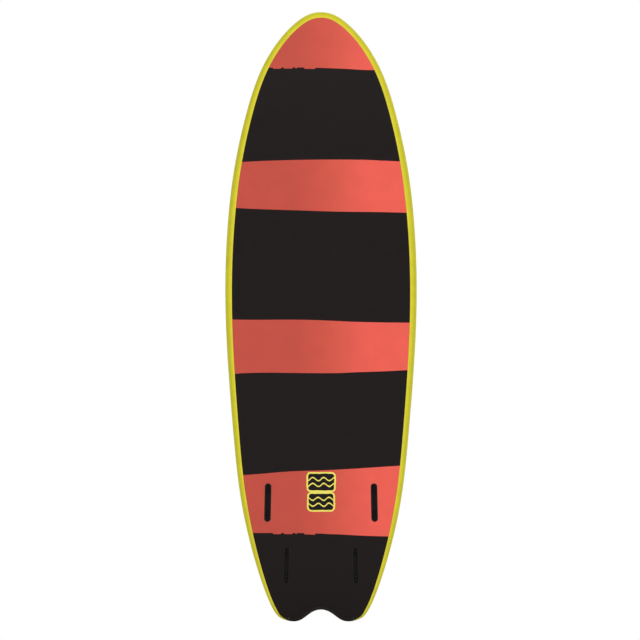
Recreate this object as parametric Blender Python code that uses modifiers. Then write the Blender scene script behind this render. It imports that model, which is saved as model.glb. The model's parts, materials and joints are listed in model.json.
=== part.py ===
"""A short soft-top fish surfboard, standing on its tail tips.

+Z runs from the tail to the nose, -Y is the bottom that rides on the water, and +Y is the deck.
The plan shape is half an outline in X and Z. Every skin is a grid between that outline and the
centre line, at a height that follows the rocker, the thickness and the round of the rail.
"""

import math
from typing import NamedTuple

import bpy
from mathutils import Matrix, Vector

# Driving dimensions, in metres.
LENGTH = 1.676
THICKNESS = 0.066
THICKEST_AT = 0.87
NOSE_TIP_THICKNESS = 0.021
TAIL_TIP_THICKNESS = 0.026
FOIL_POWER = 2.2
CAMBER = 0.16
CONCAVE = 0.002
HALF_WIDTH = 0.2636

FLATTEST_AT = 0.78
NOSE_ROCKER = 0.105
NOSE_ROCKER_POWER = 2.4
TAIL_ROCKER = 0.042
TAIL_ROCKER_POWER = 2.2

# Half the outline, from the middle of the notch round a tail tip to the nose: the control points,
# X and Z, of a cubic B-spline that is mirrored at both ends.
OUTLINE = (
    (0.0000, 0.0352),
    (0.0275, 0.0262),
    (0.0530, 0.0025),
    (0.0770, -0.0020),
    (0.1065, 0.0050),
    (0.1300, 0.0205),
    (0.1720, 0.1255),
    (0.2235, 0.3195),
    (0.2430, 0.5320),
    (0.2605, 0.7520),
    (0.2665, 0.9605),
    (0.2505, 1.2000),
    (0.2130, 1.3780),
    (0.1705, 1.5190),
    (0.1070, 1.6160),
    (0.0435, 1.6710),
    (0.0000, 1.6785),
)
LEAST_STEPS = 2
TURN_PER_STEP = math.radians(17)

# The line of points on the centre line that the sections run to.
SPINE_ENDS = (0.085, 1.625)
SPINE_SPREAD = 0.15

# The round of the rail: the height of its widest line as a share of the thickness, the radius of
# the lower round at some values of Z, and the upper round as a share of the thickness.
APEX = 0.42
LOWER_ROUNDS = (
    (0.03, 0.0085),
    (0.17, 0.0121),
    (0.30, 0.0147),
    (0.90, 0.0182),
    (1.16, 0.0185),
    (1.40, 0.0168),
    (1.62, 0.0155),
)
UPPER_ROUND = 0.60
EDGE_ROOM = 0.002
DECK_SEAM = 0.026
TAIL_SEAM = 0.100

# Layers, from the bottom up, and the gaps between touching pieces.
SLICK = 0.0012
LINER = 0.0032
LINER_DEPTH = 0.0017
SOFT_SKIN = 0.005
CORE_DEPTH = 0.0065
CORE_INSET = 0.0080
GAP = 0.0003
SEAM_GAP = 0.0004
SEAM_ROW = 0.003
LINER_GAP = 0.0015

STRINGER_X = 0.050
STRINGER_THICKNESS = 0.006

# Fin cups: name, X, Z, how far from the bottom the posts reach, and length of the bolts' shanks.
FIN_CUPS = (
    ("front", 0.1465, 0.3267, 0.031, 0.040),
    ("rear", 0.0950, 0.1535, 0.020, 0.030),
)
TOE_IN = math.radians(1.2)
CUP_LENGTH = 0.106
CUP_WIDTH = 0.018
CUP_DEPTH = 0.016
CUP_WALL = 0.003
SLOT_DEPTH = 0.012
BOLT_SPACING = 0.060
POST_RADIUS = 0.007
BOLT_HOLE_RADIUS = 0.0035

BUSH_SINK = 0.0006
BUSH_FLANGE_RADIUS = 0.012
BUSH_FLANGE_THICKNESS = 0.0046
BUSH_LENGTH = 0.0126
BUSH_HEAD_SEAT = 0.0033
BOLT_RADIUS = 0.003
BOLT_HEAD_RADIUS = 0.0068
BOLT_HEAD_HEIGHT = 0.003
BOLT_HEAD_GAP = 0.0001
BOLT_CHAMFER = 0.001
HEX_RADIUS = 0.0029
HEX_DEPTH = 0.002

LEASH_CUP_Z = 0.098
LEASH_FLANGE_RADIUS = 0.017
LEASH_FLANGE_THICKNESS = 0.0024
LEASH_CUP_RADIUS = 0.013
LEASH_CUP_DEPTH = 0.015
LEASH_WELL_RADIUS = 0.010
LEASH_WELL_DEPTH = 0.012
LEASH_PIN_RADIUS = 0.002
LEASH_PIN_LENGTH = 0.0245
LEASH_PIN_DEPTH = 0.0045

# Fineness of the shapes.
ROUND_STEPS = 12
END_STEPS = 4
MERGE = 0.00001
MIRROR_MERGE = 0.00005
SLOPE_STEP = 0.001
HALVINGS = 40

MATERIALS = {
    "eps_foam": ((0.86, 0.86, 0.84), 0.9, 0.0),
    "plywood": ((0.52, 0.34, 0.18), 0.6, 0.0),
    "liner_foam": ((0.80, 0.80, 0.78), 0.85, 0.0),
    "black_slick": ((0.018, 0.014, 0.014), 0.35, 0.0),
    "yellow_foam": ((0.61, 0.56, 0.03), 0.7, 0.0),
    "black_foam": ((0.02, 0.017, 0.017), 0.65, 0.0),
    "black_plastic": ((0.012, 0.012, 0.012), 0.45, 0.0),
    "stainless": ((0.62, 0.62, 0.61), 0.3, 1.0),
}


class Station(NamedTuple):
    """One place on the outline, with the line that runs from it to the centre line."""

    point: Vector
    inward: Vector
    spine: Vector
    lower_round: float
    upper_round: float


class Layer(NamedTuple):
    """How far a layer lies under the outer surface, and inside the outline."""

    depth: float
    inset: float


# Shape of the board


def lower_round(z):
    """Radius of the rail's lower round, from the (Z, radius) pairs."""
    if z <= LOWER_ROUNDS[0][0]:
        return LOWER_ROUNDS[0][1]
    for (low, before), (high, after) in zip(LOWER_ROUNDS[:-1], LOWER_ROUNDS[1:]):
        if z <= high:
            return before + (after - before) * (z - low) / (high - low)
    return LOWER_ROUNDS[-1][1]


def rocker(z):
    """Height of the bottom at HALF_WIDTH. Towards the centre line it rises by CONCAVE."""
    if z > FLATTEST_AT:
        return NOSE_ROCKER * ((z - FLATTEST_AT) / (LENGTH - FLATTEST_AT)) ** NOSE_ROCKER_POWER
    return TAIL_ROCKER * ((FLATTEST_AT - z) / FLATTEST_AT) ** TAIL_ROCKER_POWER


def thickness(z):
    """Height of the deck's centre line above the rocker."""
    if z > THICKEST_AT:
        share = (z - THICKEST_AT) / (LENGTH - THICKEST_AT)
        return THICKNESS - (THICKNESS - NOSE_TIP_THICKNESS) * share**FOIL_POWER
    share = (THICKEST_AT - z) / THICKEST_AT
    return THICKNESS - (THICKNESS - TAIL_TIP_THICKNESS) * share**FOIL_POWER


def bottom_height(x, z):
    return rocker(z) + CONCAVE * (1 - (x / HALF_WIDTH) ** 2)


def deck_height(x, z):
    return rocker(z) + thickness(z) * (1 - CAMBER * (x / HALF_WIDTH) ** 2)


def on_spline(points, share):
    """Point and direction on one span of a cubic B-spline, from its four control points."""
    rest = 1 - share
    weights = (
        rest**3,
        3 * share**3 - 6 * share**2 + 4,
        3 * rest**3 - 6 * rest**2 + 4,
        share**3,
    )
    slopes = (-rest * rest, 3 * share**2 - 4 * share, 4 * rest - 3 * rest**2, share * share)
    point = sum((p * w for p, w in zip(points, weights)), Vector((0, 0))) / 6
    along = sum((p * w for p, w in zip(points, slopes)), Vector((0, 0)))
    return point, along.normalized()


def outline():
    """Points of the half outline and their directions, from the notch to the nose."""
    points = [Vector(point) for point in OUTLINE]
    points = [points[1] * Vector((-1, 1))] + points + [points[-2] * Vector((-1, 1))]
    found = []
    for index in range(len(points) - 3):
        span = points[index : index + 4]
        turn = on_spline(span, 0)[1].angle(on_spline(span, 1)[1])
        steps = max(LEAST_STEPS, math.ceil(turn / TURN_PER_STEP))
        found += [on_spline(span, step / steps) for step in range(steps)]
    found.append(on_spline(span, 1))
    return found


def with_seam_rows(places):
    """The outline's places on each side of the seam where the rail band meets the tail bumper."""
    run = 0.0
    before, across, after = [], [], []
    for (point, along), (next_point, next_along) in zip(places[:-1], places[1:]):
        if run < TAIL_SEAM - 2 * SEAM_ROW:
            before.append((point, along))
        elif run > TAIL_SEAM + 2 * SEAM_ROW:
            after.append((point, along))
        step = (next_point - point).length
        if run < TAIL_SEAM <= run + step:
            offsets = (-SEAM_ROW, -SEAM_GAP, SEAM_GAP, SEAM_ROW)
            shares = [(TAIL_SEAM - run + offset) / step for offset in offsets]
            across = [(point.lerp(next_point, s), along.lerp(next_along, s).normalized()) for s in shares]
        run += step
    after.append(places[-1])
    return before + across[:2], across[2:] + after


def stations(places):
    """A station for each place, with spine points spread evenly along the centre line."""
    runs = [0.0]
    for (point, _), (next_point, _) in zip(places[:-1], places[1:]):
        step = next_point - point
        runs.append(runs[-1] + abs(step.y) + SPINE_SPREAD * step.length)
    low, high = SPINE_ENDS
    found = []
    for (point, along), run in zip(places, runs):
        found.append(
            Station(
                point=point,
                inward=Vector((-along.y, along.x)),
                spine=Vector((0, low + (high - low) * run / runs[-1])),
                lower_round=lower_round(point.y),
                upper_round=UPPER_ROUND * thickness(point.y),
            )
        )
    return found


# A ring is a line of points at the same place in every section: "lower" or "upper", and then
# ("arc", degrees up from the flat), ("inset", metres from the outline), ("edge", metres inside the
# round of the rail) or ("inner", share of the way from the edge zone to the centre line).


def ring_plan(station, ring, layer):
    """A ring's plan point at a station, and how far round the rail it is, from 0 at the outline."""
    side, kind, value = ring
    radius = (station.lower_round if side == "lower" else station.upper_round) - layer.inset
    inset, inner = max(station.upper_round, DECK_SEAM + SEAM_ROW) + EDGE_ROOM, 0.0
    if kind == "arc":
        inset = layer.inset + radius * (1 - math.sin(math.radians(value)))
    elif kind == "edge":
        inset = layer.inset + radius + value
    elif kind == "inset":
        inset = value
    else:
        inner = value
    edge = station.point + station.inward * inset
    return edge.lerp(station.spine, inner), (inset - layer.inset) / radius


def ring_point(station, ring, layer):
    """A ring's point in space, on a layer under the outer surface."""
    plan, share = ring_plan(station, ring, layer)
    bottom, deck = bottom_height(*plan), deck_height(*plan)
    apex = bottom + APEX * (deck - bottom)
    flat = bottom + layer.depth if ring[0] == "lower" else deck - layer.depth
    rise = math.sqrt(1 - (1 - share) ** 2) if share < 1 else 1.0
    return (max(0.0, plan.x), apex + (flat - apex) * rise, plan.y)


BOTTOM_RINGS = [("lower", "inner", share) for share in (1.0, 0.45)]
LOWER_ARC = [("lower", "arc", degrees) for degrees in (12, 50, 90)]
UPPER_ARC = [("upper", "arc", 60)]
DECK_EDGE = [("upper", "inset", DECK_SEAM + inset) for inset in (SEAM_GAP, SEAM_ROW)]
DECK_RINGS = [("upper", "inner", share) for share in (0.0, 0.5, 1.0)]
RAIL_RINGS = [
    ("lower", "edge", -SEAM_GAP),
    *LOWER_ARC,
    *UPPER_ARC,
    *[("upper", "inset", DECK_SEAM - inset) for inset in (SEAM_ROW, SEAM_GAP)],
]
CORE_RINGS = [
    *BOTTOM_RINGS,
    ("lower", "edge", 0.0),
    *LOWER_ARC,
    *UPPER_ARC,
    ("upper", "inset", DECK_SEAM),
    *DECK_RINGS,
]


# Tools


def clear_scene():
    for item in list(bpy.data.objects):
        bpy.data.objects.remove(item)


def collection(name):
    made = bpy.data.collections.new(name)
    bpy.context.scene.collection.children.link(made)
    return made


def make_materials():
    made = {}
    for name, (colour, roughness, metallic) in MATERIALS.items():
        made[name] = bpy.data.materials.new(name)
        made[name].use_nodes = True
        shader = made[name].node_tree.nodes["Principled BSDF"]
        shader.inputs["Base Color"].default_value = (*colour, 1)
        shader.inputs["Roughness"].default_value = roughness
        shader.inputs["Metallic"].default_value = metallic
    return made


def add_piece(name, mesh, material):
    """A piece of the board, which hangs on the board's empty."""
    piece = bpy.data.objects.new(name, mesh)
    parts.objects.link(piece)
    piece.parent = board
    if not mesh.materials:
        mesh.materials.append(materials[material])
    return piece


def add_guide(name, mesh):
    """A cutter or a guide: no part of the board."""
    guide = bpy.data.objects.new(name, mesh)
    guides.objects.link(guide)
    guide.hide_render = True
    guide.display_type = "WIRE"
    return guide


def evaluated_mesh(item, name):
    """A new mesh: the object's shape with its modifiers applied."""
    graph = bpy.context.evaluated_depsgraph_get()
    mesh = bpy.data.meshes.new_from_object(item.evaluated_get(graph))
    mesh.name = name
    mesh.materials.clear()
    return mesh


def drop(*items):
    for item in items:
        bpy.data.objects.remove(item)


def grid_mesh(name, places, rings, layer):
    """Half a skin: a grid of points over the stations and the rings, facing out."""
    rows = [[ring_point(place, ring, layer) for ring in rings] for place in places]
    width = len(rings)
    points = [point for row in rows for point in row]
    faces = [
        (i * width + j, i * width + j + 1, (i + 1) * width + j + 1, (i + 1) * width + j)
        for i in range(len(rows) - 1)
        for j in range(width - 1)
    ]
    mesh = bpy.data.meshes.new(name)
    mesh.from_pydata(points, [], faces)
    mesh.shade_smooth()
    return mesh


def mirror(item):
    modifier = item.modifiers.new("Mirror", "MIRROR")
    modifier.merge_threshold = MIRROR_MERGE


def solidify(item, depth):
    modifier = item.modifiers.new("Solidify", "SOLIDIFY")
    modifier.thickness = depth
    modifier.offset = -1
    modifier.use_even_offset = True


def boolean(item, other, operation="DIFFERENCE"):
    modifier = item.modifiers.new(operation.title(), "BOOLEAN")
    modifier.operation = operation
    modifier.object = other


def turned_mesh(name, profile, closed=False):
    """A solid turned round Z from a profile of radius and height."""
    mesh = bpy.data.meshes.new(name)
    edges = [(i, i + 1) for i in range(len(profile) - 1)]
    if closed:
        edges.append((len(profile) - 1, 0))
    mesh.from_pydata([(radius, 0, height) for radius, height in profile], edges, [])
    turned = add_guide(name, mesh)
    modifier = turned.modifiers.new("Screw", "SCREW")
    modifier.steps = ROUND_STEPS
    modifier.render_steps = ROUND_STEPS
    modifier.use_merge_vertices = True
    modifier.merge_threshold = MERGE
    solid = evaluated_mesh(turned, name)
    drop(turned)
    return solid


def cylinder_mesh(name, radius, low, high, steps=ROUND_STEPS):
    bpy.ops.mesh.primitive_cylinder_add(
        vertices=steps,
        radius=radius,
        depth=high - low,
        location=(0, 0, 0),
    )
    made = bpy.context.object
    mesh = made.data
    mesh.name = name
    mesh.transform(Matrix.Translation((0, 0, (low + high) / 2)))
    drop(made)
    return mesh


def obround_mesh(name, length, width, low, high):
    """A bar with round ends that lies along Y, between two heights."""
    reach = (length - width) / 2
    radius = width / 2
    curve = bpy.data.curves.new(name, "CURVE")
    curve.dimensions = "2D"
    curve.fill_mode = "BOTH"
    curve.extrude = (high - low) / 2
    spline = curve.splines.new("POLY")
    spline.points.add(2 * END_STEPS + 1)
    for index, point in enumerate(spline.points):
        end = 1 if index <= END_STEPS else -1
        turn = math.pi * (index - (end < 0)) / END_STEPS
        point.co = (radius * math.cos(turn), end * reach + radius * math.sin(turn), 0, 1)
    spline.use_cyclic_u = True
    bar = add_guide(name, curve)
    mesh = evaluated_mesh(bar, name)
    drop(bar)
    weld = add_guide(name, mesh)
    modifier = weld.modifiers.new("Weld", "WELD")
    modifier.merge_threshold = MERGE
    solid = evaluated_mesh(weld, name)
    drop(weld)
    solid.transform(Matrix.Translation((0, 0, (low + high) / 2)))
    return solid


# Places


def facing_frame(x, z, height, turn):
    """A frame on a skin: local Z along the skin's normal, towards the deck, and Y to the nose."""
    slope_x = (height(x + SLOPE_STEP, z) - height(x - SLOPE_STEP, z)) / (2 * SLOPE_STEP)
    slope_z = (height(x, z + SLOPE_STEP) - height(x, z - SLOPE_STEP)) / (2 * SLOPE_STEP)
    normal = Vector((-slope_x, 1, -slope_z)).normalized()
    along = Vector((math.sin(turn), 0, math.cos(turn)))
    along = (along - normal * along.dot(normal)).normalized()
    across = along.cross(normal)
    frame = Matrix((across, along, normal)).transposed().to_4x4()
    frame.translation = Vector((x, height(x, z), z))
    return frame


def depth_to_deck(frame, along):
    """How far the deck lies from a point on a fin cup's frame, measured along its Z."""
    low, high = 0.0, 2 * THICKNESS
    for _ in range(HALVINGS):
        middle = (low + high) / 2
        point = frame @ Vector((0, along, middle))
        if point.y < deck_height(point.x, point.z):
            low = middle
        else:
            high = middle
    return low


# Pieces


def make_skins(tail_places, rail_places):
    everywhere = stations(tail_places + rail_places)
    tail_count = len(tail_places)
    made = {}
    outer, under = Layer(0.0, 0.0), Layer(LINER_DEPTH, 0.0)
    slick_rings = BOTTOM_RINGS + [("lower", "edge", SEAM_GAP)]
    liner_rings = BOTTOM_RINGS + [("lower", "edge", LINER_GAP)]
    deck_rings = DECK_EDGE + DECK_RINGS
    rail, tail = everywhere[tail_count:], everywhere[:tail_count]
    sheets = (
        ("bottom_slick", "black_slick", slick_rings, outer, SLICK, everywhere),
        ("bottom_liner", "liner_foam", liner_rings, under, LINER, everywhere),
        ("deck_skin", "yellow_foam", deck_rings, outer, SOFT_SKIN, everywhere),
        ("rail_band", "yellow_foam", RAIL_RINGS, outer, SOFT_SKIN, rail),
        ("tail_bumper", "black_foam", RAIL_RINGS, outer, SOFT_SKIN, tail),
    )
    for name, material, rings, layer, sheet, places in sheets:
        made[name] = add_piece(name, grid_mesh(name, places, rings, layer), material)
        mirror(made[name])
        solidify(made[name], sheet)
    return made


def slab(name, low_x, high_x):
    """A box that takes in the whole board between two values of X."""
    bpy.ops.mesh.primitive_cube_add(size=1, location=(0, 0, 0))
    made = bpy.context.object
    mesh = made.data
    size = Matrix.Diagonal((high_x - low_x, 4 * NOSE_ROCKER, 2 * LENGTH, 1))
    mesh.transform(Matrix.Translation(((low_x + high_x) / 2, 0, 0)) @ size)
    drop(made)
    return add_guide(name, mesh)


def make_core(places):
    """Three foam strips and two stringers, all cut from one solid that fills the skins."""
    fill = grid_mesh("core", stations(places), CORE_RINGS, Layer(CORE_DEPTH, CORE_INSET))
    inner = STRINGER_X - STRINGER_THICKNESS / 2
    outer = STRINGER_X + STRINGER_THICKNESS / 2
    strips = (
        ("core_left", "eps_foam", -2 * HALF_WIDTH, -outer - GAP),
        ("stringer_left", "plywood", -outer, -inner),
        ("core_centre", "eps_foam", -inner + GAP, inner - GAP),
        ("stringer_right", "plywood", inner, outer),
        ("core_right", "eps_foam", outer + GAP, 2 * HALF_WIDTH),
    )
    made = {}
    for name, material, low_x, high_x in strips:
        made[name] = add_piece(name, fill.copy(), material)
        mirror(made[name])
        boolean(made[name], slab("slab_" + name, low_x, high_x), "INTERSECT")
    return made


def cup_mesh(name, post_top):
    """A fin cup: a slot with round ends, and two posts that reach for the deck."""
    cup = add_guide(name, obround_mesh(name, CUP_LENGTH, CUP_WIDTH, 0, CUP_DEPTH))
    tools = []
    for along in (-BOLT_SPACING / 2, BOLT_SPACING / 2):
        post = add_guide("post", cylinder_mesh("post", POST_RADIUS, SLOT_DEPTH + GAP, post_top))
        post.location.y = along
        boolean(cup, post, "UNION")
        tools.append(post)
    slot_length, slot_width = CUP_LENGTH - 2 * CUP_WALL, CUP_WIDTH - 2 * CUP_WALL
    slot = add_guide("slot", obround_mesh("slot", slot_length, slot_width, -CUP_WALL, SLOT_DEPTH))
    boolean(cup, slot)
    tools.append(slot)
    for along in (-BOLT_SPACING / 2, BOLT_SPACING / 2):
        drill = cylinder_mesh("drill", BOLT_HOLE_RADIUS, SLOT_DEPTH / 2, post_top + CUP_WALL)
        bore = add_guide("bore", drill)
        bore.location.y = along
        boolean(cup, bore)
        tools.append(bore)
    bpy.context.view_layer.update()
    solid = evaluated_mesh(cup, name)
    drop(cup, *tools)
    return solid


def bush_mesh():
    """A flanged sleeve with a seat for the bolt's head. Its top is at Z 0."""
    hole, seat = BOLT_HOLE_RADIUS, BOLT_HEAD_RADIUS + 2 * GAP
    flange = -BUSH_FLANGE_THICKNESS
    profile = (
        (hole, -BUSH_LENGTH),
        (hole, -BUSH_HEAD_SEAT),
        (seat, -BUSH_HEAD_SEAT),
        (seat, 0),
        (BUSH_FLANGE_RADIUS, 0),
        (BUSH_FLANGE_RADIUS, flange),
        (POST_RADIUS, flange),
        (POST_RADIUS, -BUSH_LENGTH),
    )
    return turned_mesh("deck_bush", profile, closed=True)


def bolt_mesh(length):
    """A bolt with a hex socket. The seat of its head is at Z 0 and its tip points down."""
    profile = (
        (0, BOLT_HEAD_HEIGHT),
        (BOLT_HEAD_RADIUS, BOLT_HEAD_HEIGHT),
        (BOLT_HEAD_RADIUS, 0),
        (BOLT_RADIUS, 0),
        (BOLT_RADIUS, BOLT_CHAMFER - length),
        (BOLT_RADIUS - BOLT_CHAMFER, -length),
        (0, -length),
    )
    bolt = add_guide("bolt", turned_mesh("bolt", profile))
    low = BOLT_HEAD_HEIGHT - HEX_DEPTH
    key = add_guide("key", cylinder_mesh("key", HEX_RADIUS, low, 2 * BOLT_HEAD_HEIGHT, steps=6))
    boolean(bolt, key)
    bpy.context.view_layer.update()
    solid = evaluated_mesh(bolt, "fin_bolt")
    drop(bolt, key)
    return solid


def make_fin_fittings(skins, core):
    """Cups, bushes and bolts, and the pockets and holes that they need."""
    pocket_mesh = obround_mesh(
        "pocket", CUP_LENGTH + 2 * GAP, CUP_WIDTH + 2 * GAP, -CUP_DEPTH, CUP_DEPTH + GAP
    )
    bush = bush_mesh()
    for pair, x, z, post_top, bolt_length in FIN_CUPS:
        cup = cup_mesh("fin_cup_" + pair, post_top)
        bolt = bolt_mesh(bolt_length)
        for side, name in ((-1, "left"), (1, "right")):
            frame = facing_frame(side * x, z, bottom_height, -side * TOE_IN)
            where = f"{pair}_{name}"
            add_piece("fin_cup_" + where, cup, "black_plastic").matrix_local = frame
            pocket = add_guide("pocket_" + where, pocket_mesh)
            pocket.parent = board
            pocket.matrix_local = frame
            for item in (skins["bottom_slick"], skins["bottom_liner"], core["core_" + name]):
                boolean(item, pocket)
            for end, along in (("aft", -BOLT_SPACING / 2), ("fore", BOLT_SPACING / 2)):
                top = depth_to_deck(frame, along) - BUSH_SINK
                seat = frame @ Matrix.Translation((0, along, top))
                tag = f"{where}_{end}"
                add_piece("deck_bush_" + tag, bush, "black_plastic").matrix_local = seat
                head = seat @ Matrix.Translation((0, 0, BOLT_HEAD_GAP - BUSH_HEAD_SEAT))
                add_piece("fin_bolt_" + tag, bolt, "black_plastic").matrix_local = head
                hole = add_guide("hole_" + tag, hole_mesh(top))
                hole.parent = board
                hole.matrix_local = seat
                boolean(skins["deck_skin"], hole)
                boolean(core["core_" + name], hole)


def hole_mesh(depth):
    """The stepped hole for a bush and a post, from above the deck down to the cup."""
    flange = BUSH_FLANGE_RADIUS + GAP
    post = POST_RADIUS + GAP
    step = -BUSH_FLANGE_THICKNESS - GAP
    above = 2 * BUSH_FLANGE_THICKNESS
    profile = ((0, above), (flange, above), (flange, step), (post, step), (post, -depth), (0, -depth))
    return turned_mesh("hole", profile)


def make_leash_fitting(skins, core):
    """A cup in the deck with a pin across it."""
    frame = facing_frame(0, LEASH_CUP_Z, deck_height, 0)
    well, rim, cup = LEASH_WELL_RADIUS, LEASH_FLANGE_RADIUS, LEASH_CUP_RADIUS
    flange = -LEASH_FLANGE_THICKNESS
    profile = (
        (0, -LEASH_WELL_DEPTH),
        (well, -LEASH_WELL_DEPTH),
        (well, 0),
        (rim, 0),
        (rim, flange),
        (cup, flange),
        (cup, -LEASH_CUP_DEPTH),
        (0, -LEASH_CUP_DEPTH),
    )
    leash_cup = add_piece("leash_cup", turned_mesh("leash_cup", profile), "black_plastic")
    leash_cup.matrix_local = frame
    across = frame @ Matrix.Translation((0, 0, -LEASH_PIN_DEPTH)) @ Matrix.Rotation(math.pi / 2, 4, "Y")
    half = LEASH_PIN_LENGTH / 2
    pin = add_piece("leash_pin", cylinder_mesh("leash_pin", LEASH_PIN_RADIUS, -half, half), "stainless")
    pin.matrix_local = across
    reach = half + GAP
    bore_mesh = cylinder_mesh("pin_bore", LEASH_PIN_RADIUS + GAP, -reach, reach)
    bore = add_guide("pin_bore", bore_mesh)
    bore.parent = board
    bore.matrix_local = across
    boolean(leash_cup, bore)
    outer = (
        (0, rim),
        (rim + GAP, rim),
        (rim + GAP, flange - GAP),
        (cup + GAP, flange - GAP),
        (cup + GAP, -LEASH_CUP_DEPTH - GAP),
        (0, -LEASH_CUP_DEPTH - GAP),
    )
    pocket = add_guide("leash_pocket", turned_mesh("leash_pocket", outer))
    pocket.parent = board
    pocket.matrix_local = frame
    boolean(skins["deck_skin"], pocket)
    boolean(core["core_centre"], pocket)


def centre_board(skins):
    """Moves the board so that its box is centred on Y and stands on Z 0."""
    bpy.context.view_layer.update()
    graph = bpy.context.evaluated_depsgraph_get()
    corners = [Vector(c) for item in skins.values() for c in item.evaluated_get(graph).bound_box]
    low_y, high_y = min(c.y for c in corners), max(c.y for c in corners)
    board.location = (0, -(low_y + high_y) / 2, -min(c.z for c in corners))


clear_scene()
parts = collection("surfboard")
guides = collection("guides")
materials = make_materials()
board = bpy.data.objects.new("board", None)
parts.objects.link(board)
tail_places, rail_places = with_seam_rows(outline())
skins = make_skins(tail_places, rail_places)
core = make_core(tail_places + rail_places)
make_fin_fittings(skins, core)
make_leash_fitting(skins, core)
centre_board(skins)
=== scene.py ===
"""The looks of a short soft-top fish surfboard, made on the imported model.

+Z runs to the nose, -Y is the printed bottom and +Y is the foam deck. The skins are finer grids on
the same shape as the solids, and the fittings are lofts of round or long-sided rings. The solids
hidden inside keep their own shape and only get a material.
"""

import json
import math
from typing import NamedTuple

import bmesh
import bpy
from mathutils import Matrix, Vector

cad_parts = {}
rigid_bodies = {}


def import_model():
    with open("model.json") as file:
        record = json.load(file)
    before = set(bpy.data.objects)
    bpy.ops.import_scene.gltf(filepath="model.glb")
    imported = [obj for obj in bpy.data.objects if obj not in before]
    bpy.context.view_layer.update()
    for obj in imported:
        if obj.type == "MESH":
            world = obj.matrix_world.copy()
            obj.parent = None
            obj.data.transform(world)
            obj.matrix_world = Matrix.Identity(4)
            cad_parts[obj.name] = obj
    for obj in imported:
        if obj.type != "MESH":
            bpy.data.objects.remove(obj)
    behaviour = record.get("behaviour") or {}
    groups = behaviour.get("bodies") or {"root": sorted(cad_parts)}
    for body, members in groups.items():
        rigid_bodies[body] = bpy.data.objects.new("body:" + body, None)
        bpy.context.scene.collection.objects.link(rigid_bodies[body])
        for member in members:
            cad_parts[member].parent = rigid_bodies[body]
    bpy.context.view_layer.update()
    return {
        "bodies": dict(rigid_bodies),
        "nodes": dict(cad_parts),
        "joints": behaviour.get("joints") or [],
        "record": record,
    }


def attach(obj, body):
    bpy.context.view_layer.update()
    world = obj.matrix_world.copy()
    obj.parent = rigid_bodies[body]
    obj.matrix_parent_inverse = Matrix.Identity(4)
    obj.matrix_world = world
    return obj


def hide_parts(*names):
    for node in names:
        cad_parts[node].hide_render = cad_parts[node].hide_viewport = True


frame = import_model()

# The board's shape, in metres: the same driving dimensions as the solids.
LENGTH = 1.676
THICKNESS = 0.066
THICKEST_AT = 0.87
NOSE_TIP_THICKNESS = 0.021
TAIL_TIP_THICKNESS = 0.026
FOIL_POWER = 2.2
CAMBER = 0.16
CONCAVE = 0.002
HALF_WIDTH = 0.2636
FLATTEST_AT = 0.78
NOSE_ROCKER = 0.105
NOSE_ROCKER_POWER = 2.4
TAIL_ROCKER = 0.042
TAIL_ROCKER_POWER = 2.2
OUTLINE = (
    (0.0000, 0.0352),
    (0.0275, 0.0262),
    (0.0530, 0.0025),
    (0.0770, -0.0020),
    (0.1065, 0.0050),
    (0.1300, 0.0205),
    (0.1720, 0.1255),
    (0.2235, 0.3195),
    (0.2430, 0.5320),
    (0.2605, 0.7520),
    (0.2665, 0.9605),
    (0.2505, 1.2000),
    (0.2130, 1.3780),
    (0.1705, 1.5190),
    (0.1070, 1.6160),
    (0.0435, 1.6710),
    (0.0000, 1.6785),
)
SPINE_ENDS = (0.085, 1.625)
SPINE_SPREAD = 0.15
APEX = 0.42
LOWER_ROUNDS = (
    (0.03, 0.0085),
    (0.17, 0.0121),
    (0.30, 0.0147),
    (0.90, 0.0182),
    (1.16, 0.0185),
    (1.40, 0.0168),
    (1.62, 0.0155),
)
UPPER_ROUND = 0.60
EDGE_ROOM = 0.002
DECK_EDGE_ROW = 0.003
DECK_SEAM = 0.026
TAIL_SEAM = 0.100
SLICK = 0.0012
SOFT_SKIN = 0.005
SEAM_GAP = 0.0001

# The softened edge at a seam: how wide it is and how far it sinks.
SEAM_ROW = 0.0015
SEAM_SINK = 0.0004

# Fineness of the grids and lofts.
LEAST_STEPS = 10
TURN_PER_STEP = math.radians(3)
ROUND_STEPS = 48
SHARP = math.radians(32)
SLOPE_STEP = 0.001
HALVINGS = 40
MIRROR_MERGE = 0.00005

# The cut-outs in the skins: how much wider than what they hold, and how far to each side they reach.
SLOT_ROOM = 0.0001
SLOT_REACH = 0.01
HOLE_ROOM = 0.0002
HOLE_REACH = 0.02

# Fin cups: name, X, Z, how far from the bottom the posts reach, and length of the bolts' shanks.
FIN_CUPS = (
    ("front", 0.1465, 0.3267, 0.031, 0.040),
    ("rear", 0.0950, 0.1535, 0.020, 0.030),
)
TOE_IN = math.radians(1.2)
CUP_LENGTH = 0.106
CUP_WIDTH = 0.018
CUP_DEPTH = 0.016
CUP_WALL = 0.003
SLOT_DEPTH = 0.012
BOLT_SPACING = 0.060
POST_RADIUS = 0.007
BOLT_HOLE_RADIUS = 0.0035
BORE_RELIEF = 0.0002
COLLAR_RADIUS = 0.0046
COLLAR_HEIGHT = 0.0007
COLLAR_ROOT = 0.001
BUSH_SINK = 0.0006
BUSH_FLANGE_RADIUS = 0.012
BUSH_FLANGE_THICKNESS = 0.0046
BUSH_LENGTH = 0.0126
BUSH_HEAD_SEAT = 0.0033
BUSH_SEAT_RADIUS = 0.0074
BOLT_RADIUS = 0.003
BOLT_HEAD_RADIUS = 0.0068
BOLT_HEAD_HEIGHT = 0.003
BOLT_HEAD_GAP = 0.0001
BOLT_CHAMFER = 0.001
THREAD_PITCH = 0.001
THREAD_DEPTH = 0.0003
THREAD_SHARE = 0.6
HEX_RADIUS = 0.0029
HEX_DEPTH = 0.002
LEASH_CUP_Z = 0.098
LEASH_FLANGE_RADIUS = 0.017
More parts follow.
